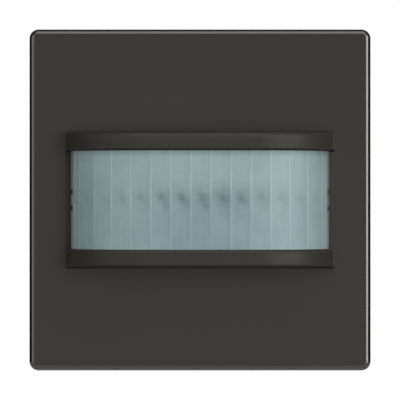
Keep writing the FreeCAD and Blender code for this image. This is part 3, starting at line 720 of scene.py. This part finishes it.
# Milky plastic with a light line where facets meet and a dim spot at each facet's optical centre
def milkyLens():
    material, tree, shader, where = newMaterial("milkyLens")
    grid = axes(tree, put(tree, "ShaderNodeUVMap", uv_map="lensGrid").outputs[0])
    across, height = grid[0], grid[1]
    side = times(tree, axes(tree, where)[0], 1 / mm)
    made = lensPatterns(tree, across, height)
    # the upper colour is lighter as well as greener: partly painted light from above, partly the lens's own
    # tint
    lower = ramp(tree, height, *milky["lowerRamp"])
    lower = plus(tree, lower, times(tree, made["cloud"], milky["lowerCloud"]))
    lower = times(tree, lower, raised(tree, made["middle"], milky["lowerAtEnds"]))
    colour = blendColour(tree, lower, milky["upperColour"], milky["lowerColour"])
    pale = ramp(tree, calc(tree, "ABSOLUTE", side), *milky["pale"])
    relief = plus(tree, times(tree, made["rings"], milky["ringRelief"]), made["wall"])
    feed(tree, shader, {
        "Base Color": toned(tree, colour, lensTone(tree, made, across, height, side), pale),
        "Roughness": plus(tree, times(tree, made["streaks"], milky["streakGloss"]), milky["gloss"]),
        "Normal": bump(tree, relief, milky["reliefStrength"], milky["reliefDepth"]),
        "Specular IOR Level": milky["mirror"],
    })
    return material


def closeSlotEnds(shape):  # strips like the lens beside them fill the front ends of the lugs' slots
    middleY = plateFront / mm - lens["slotFront"] + lens["slotClosed"] / 2
    middleZ = lens["stripLow"] + lens["slotHeight"] / 2
    size = (lens["stripWidth"], lens["slotClosed"], lens["slotHeight"])
    strips = bmesh.new()
    for low in (lens["slotLow"], -lens["slotLow"] - lens["slotHeight"]):
        block = bmesh.new()
        for side in (-1, 1):
            addBox(block, (side * lens["stripMiddle"], middleY, middleZ), size)
        strip = carve(copyOfNode("fresnel_lens"), block, "INTERSECT")
        bmesh.ops.translate(strip, verts=strip.verts, vec=(0, 0, (low - lens["stripLow"]) * mm))
        absorb(strips, strip)
    return carve(shape, strips, "UNION")


def lensPiece():
    shape = closeSlotEnds(copyOfNode("fresnel_lens"))
    bmesh.ops.triangulate(shape, faces=shape.faces)
    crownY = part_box("fresnel_lens")[0].y
    grid = shape.loops.layers.uv.new("lensGrid")
    for face in shape.faces:
        for loop in face.loops:
            point = loop.vert.co
            distance = planDistance(point, crownY) - lens["patternShift"]
            loop[grid].uv = (distance / lens["facetWidth"] + lens["facetCount"] / 2, point.z / mm)
    finishPiece(shape, "fresnelLens", milkyLens(), "root", ["fresnel_lens"])


lensPiece()
print("lens made")

# Colour, gloss and, where it isn't the usual one, unevenness
plastics = {
    "blackPlastic": ((0.02, 0.02, 0.021), 0.5),
    "graphitePlastic": ((0.070, 0.072, 0.075), 0.45),
    "plugPlastic": ((0.018, 0.018, 0.019), 0.35),
    "scalePaint": ((0.62, 0.615, 0.59), 0.5),
    "rotorPlastic": ((0.70, 0.70, 0.68), 0.4),
    "trimmerPlastic": ((0.03, 0.03, 0.033), 0.35),
    "boardLaminate": ((0.02, 0.13, 0.05), 0.25, 0.25),
    "chipEpoxy": ((0.02, 0.02, 0.022), 0.55),
    "resistorCeramic": ((0.025, 0.024, 0.024), 0.3),
    "capacitorCeramic": ((0.36, 0.26, 0.16), 0.5),
    "storageSleeve": ((0.02, 0.022, 0.03), 0.3),
    "lampEpoxy": ((0.75, 0.68, 0.5), 0.25),
    "sensorEpoxy": ((0.05, 0.04, 0.035), 0.2),
    "filterSilicon": ((0.07, 0.065, 0.07), 0.15),
}
metals = {
    "canNickel": ((0.60, 0.59, 0.56), 0.28),
    "tinnedLead": ((0.62, 0.62, 0.60), 0.35),
    "goldContact": ((0.75, 0.55, 0.22), 0.25),
    "resonatorMetal": ((0.55, 0.55, 0.54), 0.3),
    "springSteel": ((0.55, 0.55, 0.54), 0.3),
    "screwSteel": ((0.58, 0.57, 0.55), 0.3),
}
finishes = {name: mouldedPlastic(name, *values)[0] for name, values in plastics.items()}
finishes.update({name: platedMetal(name, *values)[0] for name, values in metals.items()})

nodeFinish = {
    "lens_retainer": "blackPlastic",
    "detector_holder": "blackPlastic",
    "detector_can": "canNickel",
    "detector_filter": "filterSilicon",
    "detector_leads": "tinnedLead",
    "circuit_board": "boardLaminate",
    "controller_chip": "chipEpoxy",
    "amplifier_chip": "chipEpoxy",
    "chip_leads": "tinnedLead",
    "voltage_regulator": "chipEpoxy",
    "chip_resistors": "resistorCeramic",
    "chip_capacitors": "capacitorCeramic",
    "storage_capacitors": "storageSleeve",
    "resonator": "resonatorMetal",
    "status_lamp": "lampEpoxy",
    "dusk_sensor": "sensorEpoxy",
    "delay_trimmer_body": "trimmerPlastic",
    "dusk_trimmer_body": "trimmerPlastic",
    "delay_trimmer_rotor": "rotorPlastic",
    "dusk_trimmer_rotor": "rotorPlastic",
    "plug_pins": "goldContact",
}
for nodeName, finishName in nodeFinish.items():
    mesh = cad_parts[nodeName].data
    mesh.materials.clear()
    mesh.materials.append(finishes[finishName])

softEdge = {"angle": 50.0, "segments": 2, "housing": 0.15, "plug": 0.1, "clip": 0.06}


# Copy of a node with its sharp edges rounded, in place of it
def softenedPiece(nodeName, name, finishName, width):
    shape = copyOfNode(nodeName)
    bevelEdges(shape, sharpEdges(shape, softEdge["angle"]), width, softEdge["segments"])
    finishPiece(shape, name, finishes[finishName], "root", [nodeName])


softenedPiece("rear_housing", "rearShell", "graphitePlastic", softEdge["housing"])
softenedPiece("plug_body", "plugShell", "plugPlastic", softEdge["plug"])
softenedPiece("left_spring_clip", "leftClip", "springSteel", softEdge["clip"])
softenedPiece("right_spring_clip", "rightClip", "springSteel", softEdge["clip"])
print("rear pieces made")

dial = {
    "colour": (0.62, 0.615, 0.59),
    "gloss": 0.4,
    "paintedRecessShade": 0.45,
    "recessTop": 0.3,
    "flutes": 24,
    "fluteDepth": 0.16,
    "pointsPerFlute": 6,
    "headDepth": 2.0,
    "crownRound": 0.25,
    "slotWidth": 1.0,
    "slotLength": 4.6,
    "slotDepth": 1.0,
    "slotRound": 0.08,
    "arrowWidth": 2.2,
    "arrowStart": 1.6,
    "arrowEnd": 2.8,
    "shaftWidth": 2.8,
}


def knobMaterial():  # pale plastic with painted shade in the slot
    material, tree, shader, where, colour = mouldedPlastic("knobPlastic", dial["colour"], dial["gloss"])
    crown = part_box("delay_knob")[1].y
    low, high = crown - dial["slotDepth"] * mm, crown - dial["recessTop"] * mm
    # painted shade: darker towards the slot's floor
    tone = ramp(tree, axes(tree, where)[1], low, high, dial["paintedRecessShade"], 1.0)
    feed(tree, shader, {"Base Color": toned(tree, colour, tone)})
    return material


def flutedHead(x, z, outerRadius, front, rear):
    shape = bmesh.new()
    count = dial["flutes"] * dial["pointsPerFlute"]
    rings = []
    for y, inset in ((front, 0.0), (rear - dial["crownRound"], 0.0), (rear, dial["crownRound"])):
        ring = []
        for index in range(count):
            turn = 2 * math.pi * index / count
            flute = dial["fluteDepth"] * (0.5 - 0.5 * math.cos(dial["flutes"] * turn))
            radius = outerRadius - flute - inset
            place = (x + radius * math.cos(turn), y, z + radius * math.sin(turn))
            ring.append(shape.verts.new(Vector(place) * mm))
        rings.append(ring)
    loops = [[shape.edges.new((ring[index - 1], ring[index])) for index in range(count)] for ring in rings]
    for first, second in zip(loops, loops[1:]):
        bmesh.ops.bridge_loops(shape, edges=first + second)
    shape.faces.new(rings[0])
    shape.faces.new(rings[2])
    return shape


def arrowSlot(x, z, front, rear):  # screwdriver slot that ends in an arrow
    half, reach, wing = dial["slotWidth"] / 2, dial["slotLength"] / 2, dial["arrowWidth"] / 2
    start, tip = z + dial["arrowStart"], z + dial["arrowEnd"]
    tail = [(x - half, z - reach), (x + half, z - reach), (x + half, start)]
    arrow = [(x + wing, start), (x, tip), (x - wing, start), (x - half, start)]
    cutter = bmesh.new()
    addPrism(cutter, tail + arrow, front, rear + meshing["past"])
    return cutter


def dialPiece(nodeName, name, body):  # fluted adjuster on a square shaft
    low, high = [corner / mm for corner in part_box(nodeName)]
    x, z = (low.x + high.x) / 2, (low.z + high.z) / 2
    front, rear = high.y - dial["headDepth"], high.y
    shape = flutedHead(x, z, (high.x - low.x) / 2, front, rear)
    shape = carve(shape, arrowSlot(x, z, rear - dial["slotDepth"], rear))
    crown = (rear - meshing["nearness"]) * mm
    slotEdges = [e for e in sharpEdges(shape) if all(v.co.y > crown for v in e.verts)]
    bevelEdges(shape, slotEdges, dial["slotRound"], 2)
    addBox(shape, (x, (low.y + front) / 2, z), (dial["shaftWidth"], front - low.y, dial["shaftWidth"]))
    finishPiece(shape, name, knobPlastic, body, [nodeName])


knobPlastic = knobMaterial()
dialPiece("delay_knob", "delayDial", "delay_dial")
dialPiece("dusk_knob", "duskDial", "dusk_dial")

scale = {
    "wall": 13.5,  # where the rear wall is
    "ticks": 11,
    "sweep": 235.0,
    "inner": 3.95,
    "outer": 4.75,
    "endOuter": 5.15,
    "width": 0.3,
    "height": 0.07,
    "edgeRound": 0.05,
}


def scalePiece():  # printed strokes round both dials on the rear wall
    shape = bmesh.new()
    last = scale["ticks"] - 1
    for nodeName in ("delay_knob", "dusk_knob"):
        low, high = [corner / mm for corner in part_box(nodeName)]
        x, z = (low.x + high.x) / 2, (low.z + high.z) / 2
        for index in range(scale["ticks"]):
            turn = math.radians(scale["sweep"] * (index / last - 0.5))
            outer = scale["endOuter"] if index in (0, last) else scale["outer"]
            middle = (scale["inner"] + outer) / 2
            centre = (x + middle * math.sin(turn), scale["wall"], z + middle * math.cos(turn))
            addBox(shape, centre, (scale["width"], 2 * scale["height"], outer - scale["inner"]), turn)
    bevelEdges(shape, list(shape.edges), scale["edgeRound"], 2)
    finishPiece(shape, "dialScales", finishes["scalePaint"], "root")


scalePiece()

screw = {
    "head": [(0.0, 1.4), (1.1, 1.4), (1.6, 1.32), (1.9, 1.1), (2.06, 0.75), (2.1, 0.35), (2.1, 0.0)],
    "shank": 1.05,
    "steps": 48,
    "mergeGap": 0.001,
    "crossLength": 2.5,
    "crossWidth": 0.55,
    "crossDepth": 0.9,
}


def spunScrew(x, z, seat, tip):  # outline of the head and shank, spun about the screw's axis
    shape = bmesh.new()
    outline = screw["head"] + [(screw["shank"], 0.0), (screw["shank"], tip - seat), (0.0, tip - seat)]
    verts = [shape.verts.new(Vector((x + radius, seat + rise, z)) * mm) for radius, rise in outline]
    edges = [shape.edges.new(pair) for pair in zip(verts, verts[1:])]
    bmesh.ops.spin(
        shape, geom=verts + edges, cent=Vector((x, 0, z)) * mm, axis=(0, 1, 0), dvec=(0, 0, 0),
        angle=2 * math.pi, steps=screw["steps"], use_merge=True, use_duplicate=False,
    )
    bmesh.ops.remove_doubles(shape, verts=shape.verts, dist=screw["mergeGap"] * mm)
    return shape


def crossRecess(x, z, rear):
    half, reach = screw["crossWidth"] / 2, screw["crossLength"] / 2
    corner = [(half, reach), (half, half), (reach, half), (reach, -half), (half, -half), (half, -reach)]
    cross = corner + [(-a, -b) for a, b in corner]
    cutter = bmesh.new()
    addPrism(cutter, [(x + a, z + b) for a, b in cross], rear - screw["crossDepth"], rear + meshing["past"])
    return cutter


def screwPiece():  # two pan-head screws at opposite corners
    whole = bmesh.new()
    low, high = [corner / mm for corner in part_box("cover_screws")]
    headRadius, headHeight = screw["head"][-1][0], screw["head"][0][1]
    for x, z in ((low.x + headRadius, high.z - headRadius), (high.x - headRadius, low.z + headRadius)):
        shape = spunScrew(x, z, high.y - headHeight, low.y)
        absorb(whole, carve(shape, crossRecess(x, z, high.y)))
    finishPiece(whole, "coverScrews", finishes["screwSteel"], "root", ["cover_screws"])


screwPiece()
print("dials, scales and screws made")

white = (1, 1, 1, 1)

floor = {
    "drop": 45.0,
    "radius": 360.0,
    "segments": 96,
    "fade": (100.0, 300.0),  # from this distance to this one it turns white
    "tone": 0.82,
    "noiseScale": 40.0,
    "noise": 0.03,
    "gloss": 0.9,
    "glow": 0.1,
    "mirrored": 0.7,  # what reflections of the floor near the object gain
}


def seenBy(tree):  # what the camera sees, also through glass, and what reflections see
    path = put(tree, "ShaderNodeLightPath").outputs
    return calc(tree, "MAXIMUM", path["Is Camera Ray"], path["Is Transmission Ray"]), path["Is Glossy Ray"]


def paleFloor():  # grey near the object and glowing white further away
    material, tree, shader, where = newMaterial("paleFloor")
    distance = put(tree, "ShaderNodeVectorMath", {0: where}, operation="LENGTH").outputs["Value"]
    near = ramp(tree, distance, *[end * mm for end in floor["fade"]], 1.0, 0.0)
    uneven = times(tree, noise(tree, where, floor["noiseScale"]), floor["noise"])
    tone = times(tree, plus(tree, uneven, floor["tone"]), near)
    straight, mirrored = seenBy(tree)
    glow = raised(tree, minus(tree, 1.0, near), floor["glow"])
    glow = plus(tree, glow, times(tree, mirrored, near, floor["mirrored"]))
    feed(tree, shader, {
        "Base Color": put(tree, "ShaderNodeCombineColor", {0: tone, 1: tone, 2: tone}).outputs[0],
        "Roughness": floor["gloss"],
        "Specular IOR Level": 0.0,
        "Emission Color": white,
        "Emission Strength": times(tree, calc(tree, "MAXIMUM", straight, mirrored), glow),
    })
    return material


def floorPiece():  # round floor below the object
    shape = bmesh.new()
    bmesh.ops.create_circle(shape, cap_ends=True, segments=floor["segments"], radius=floor["radius"] * mm)
    mesh = bpy.data.meshes.new("floor")
    shape.to_mesh(mesh)
    shape.free()
    mesh.materials.append(paleFloor())
    piece = bpy.data.objects.new("floor", mesh)
    piece.location.z = cadBox[0].z - floor["drop"] * mm
    piece.visible_diffuse = False
    bpy.context.scene.collection.objects.link(piece)


def direction(azimuth, elevation):  # azimuth 0 is on the camera's side and 90 is to the right
    turn, rise = math.radians(azimuth), math.radians(elevation)
    return Vector((math.sin(turn) * math.cos(rise), -math.cos(turn) * math.cos(rise), math.sin(rise)))


studio = {"ambient": 0.13, "mirrored": 0.02, "softboxDistance": 900.0}

cards = [  # round white cards, seen in reflections only
    {"azimuth": 39, "elevation": 4, "half": 19, "soft": 4, "brightness": 10.4},
    {"azimuth": 8, "elevation": 48, "half": 28, "soft": 6, "brightness": 3.4},
    {"azimuth": -38, "elevation": 4, "half": 22, "soft": 5, "brightness": 2.7},
    {"azimuth": -4, "elevation": -9, "half": 14, "soft": 7, "brightness": 0.39},
    {"azimuth": 148, "elevation": 28, "half": 26, "soft": 8, "brightness": 0.8},
    {"azimuth": -148, "elevation": 28, "half": 26, "soft": 8, "brightness": 0.8},
]


def cardGlow(tree, way, card):
    inputs = {0: way, 1: direction(card["azimuth"], card["elevation"])}
    facing = put(tree, "ShaderNodeVectorMath", inputs, operation="DOT_PRODUCT").outputs["Value"]
    outer = math.cos(math.radians(card["half"] + card["soft"]))
    inner = math.cos(math.radians(card["half"] - card["soft"]))
    return ramp(tree, facing, outer, inner, 0.0, card["brightness"])


def studioWorld():  # white to the camera, dim with cards to reflections, and a soft even light to the rest
    world = bpy.data.worlds.new("studio")
    bpy.context.scene.world = world
    world.use_nodes = True
    tree = world.node_tree
    tree.nodes.clear()
    way = put(tree, "ShaderNodeTexCoord").outputs["Generated"]
    straight, mirrored = seenBy(tree)
    seen = calc(tree, "MAXIMUM", straight, mirrored)
    glow = plus(tree, *[cardGlow(tree, way, card) for card in cards], studio["mirrored"])
    glow = calc(tree, "MAXIMUM", glow, straight)
    even = put(tree, "ShaderNodeBackground", {"Color": white, "Strength": studio["ambient"]}).outputs[0]
    backdrop = put(tree, "ShaderNodeBackground", {"Color": white, "Strength": glow}).outputs[0]
    both = put(tree, "ShaderNodeMixShader", {0: seen, 1: even, 2: backdrop}).outputs[0]
    put(tree, "ShaderNodeOutputWorld", {"Surface": both})


softboxes = {  # sizes are in metres
    "front": {"azimuth": 12, "elevation": -2, "size": (0.7, 0.7), "radiance": 4.4},
    "key": {"azimuth": 42, "elevation": 6, "size": (0.35, 0.8), "radiance": 1.15},
    "top": {"azimuth": 5, "elevation": 62, "size": (0.9, 0.35), "radiance": 0.7},
    "rearLeft": {"azimuth": 200, "elevation": 18, "size": (0.6, 0.6), "radiance": 3.0},
    "rearRight": {"azimuth": 165, "elevation": 12, "size": (0.6, 0.6), "radiance": 2.6},
}


def softbox(name, azimuth, elevation, size, radiance):  # area light that looks at the object
    lamp = bpy.data.lights.new(name, "AREA")
    lamp.shape = "RECTANGLE"
    lamp.size, lamp.size_y = size
    lamp.energy = radiance * math.pi * size[0] * size[1]
    light = bpy.data.objects.new(name, lamp)
    away = direction(azimuth, elevation)
    light.location = away * studio["softboxDistance"] * mm
    light.rotation_mode = "QUATERNION"
    light.rotation_quaternion = away.to_track_quat("Z", "Y")
    light.visible_glossy = False
    bpy.context.scene.collection.objects.link(light)


shot = {"distance": 400.0, "fieldWidth": 73.71, "sensor": 36.0, "nearest": 10.0, "furthest": 20000.0}


def shotCamera():
    data = bpy.data.cameras.new("shot")
    data.sensor_width = shot["sensor"]
    data.lens = shot["sensor"] * shot["distance"] / shot["fieldWidth"]
    data.clip_start = shot["nearest"] * mm
    data.clip_end = shot["furthest"] * mm
    camera = bpy.data.objects.new("shot", data)
    camera.location = Vector((0, plateFront - shot["distance"] * mm, 0))
    camera.rotation_euler = (math.pi / 2, 0, 0)
    bpy.context.scene.collection.objects.link(camera)
    bpy.context.scene.camera = camera


floorPiece()
studioWorld()
for name, settings in softboxes.items():
    softbox(name, **settings)
shotCamera()
bpy.context.scene.view_settings.view_transform = "Standard"
print("stage, light and camera set")
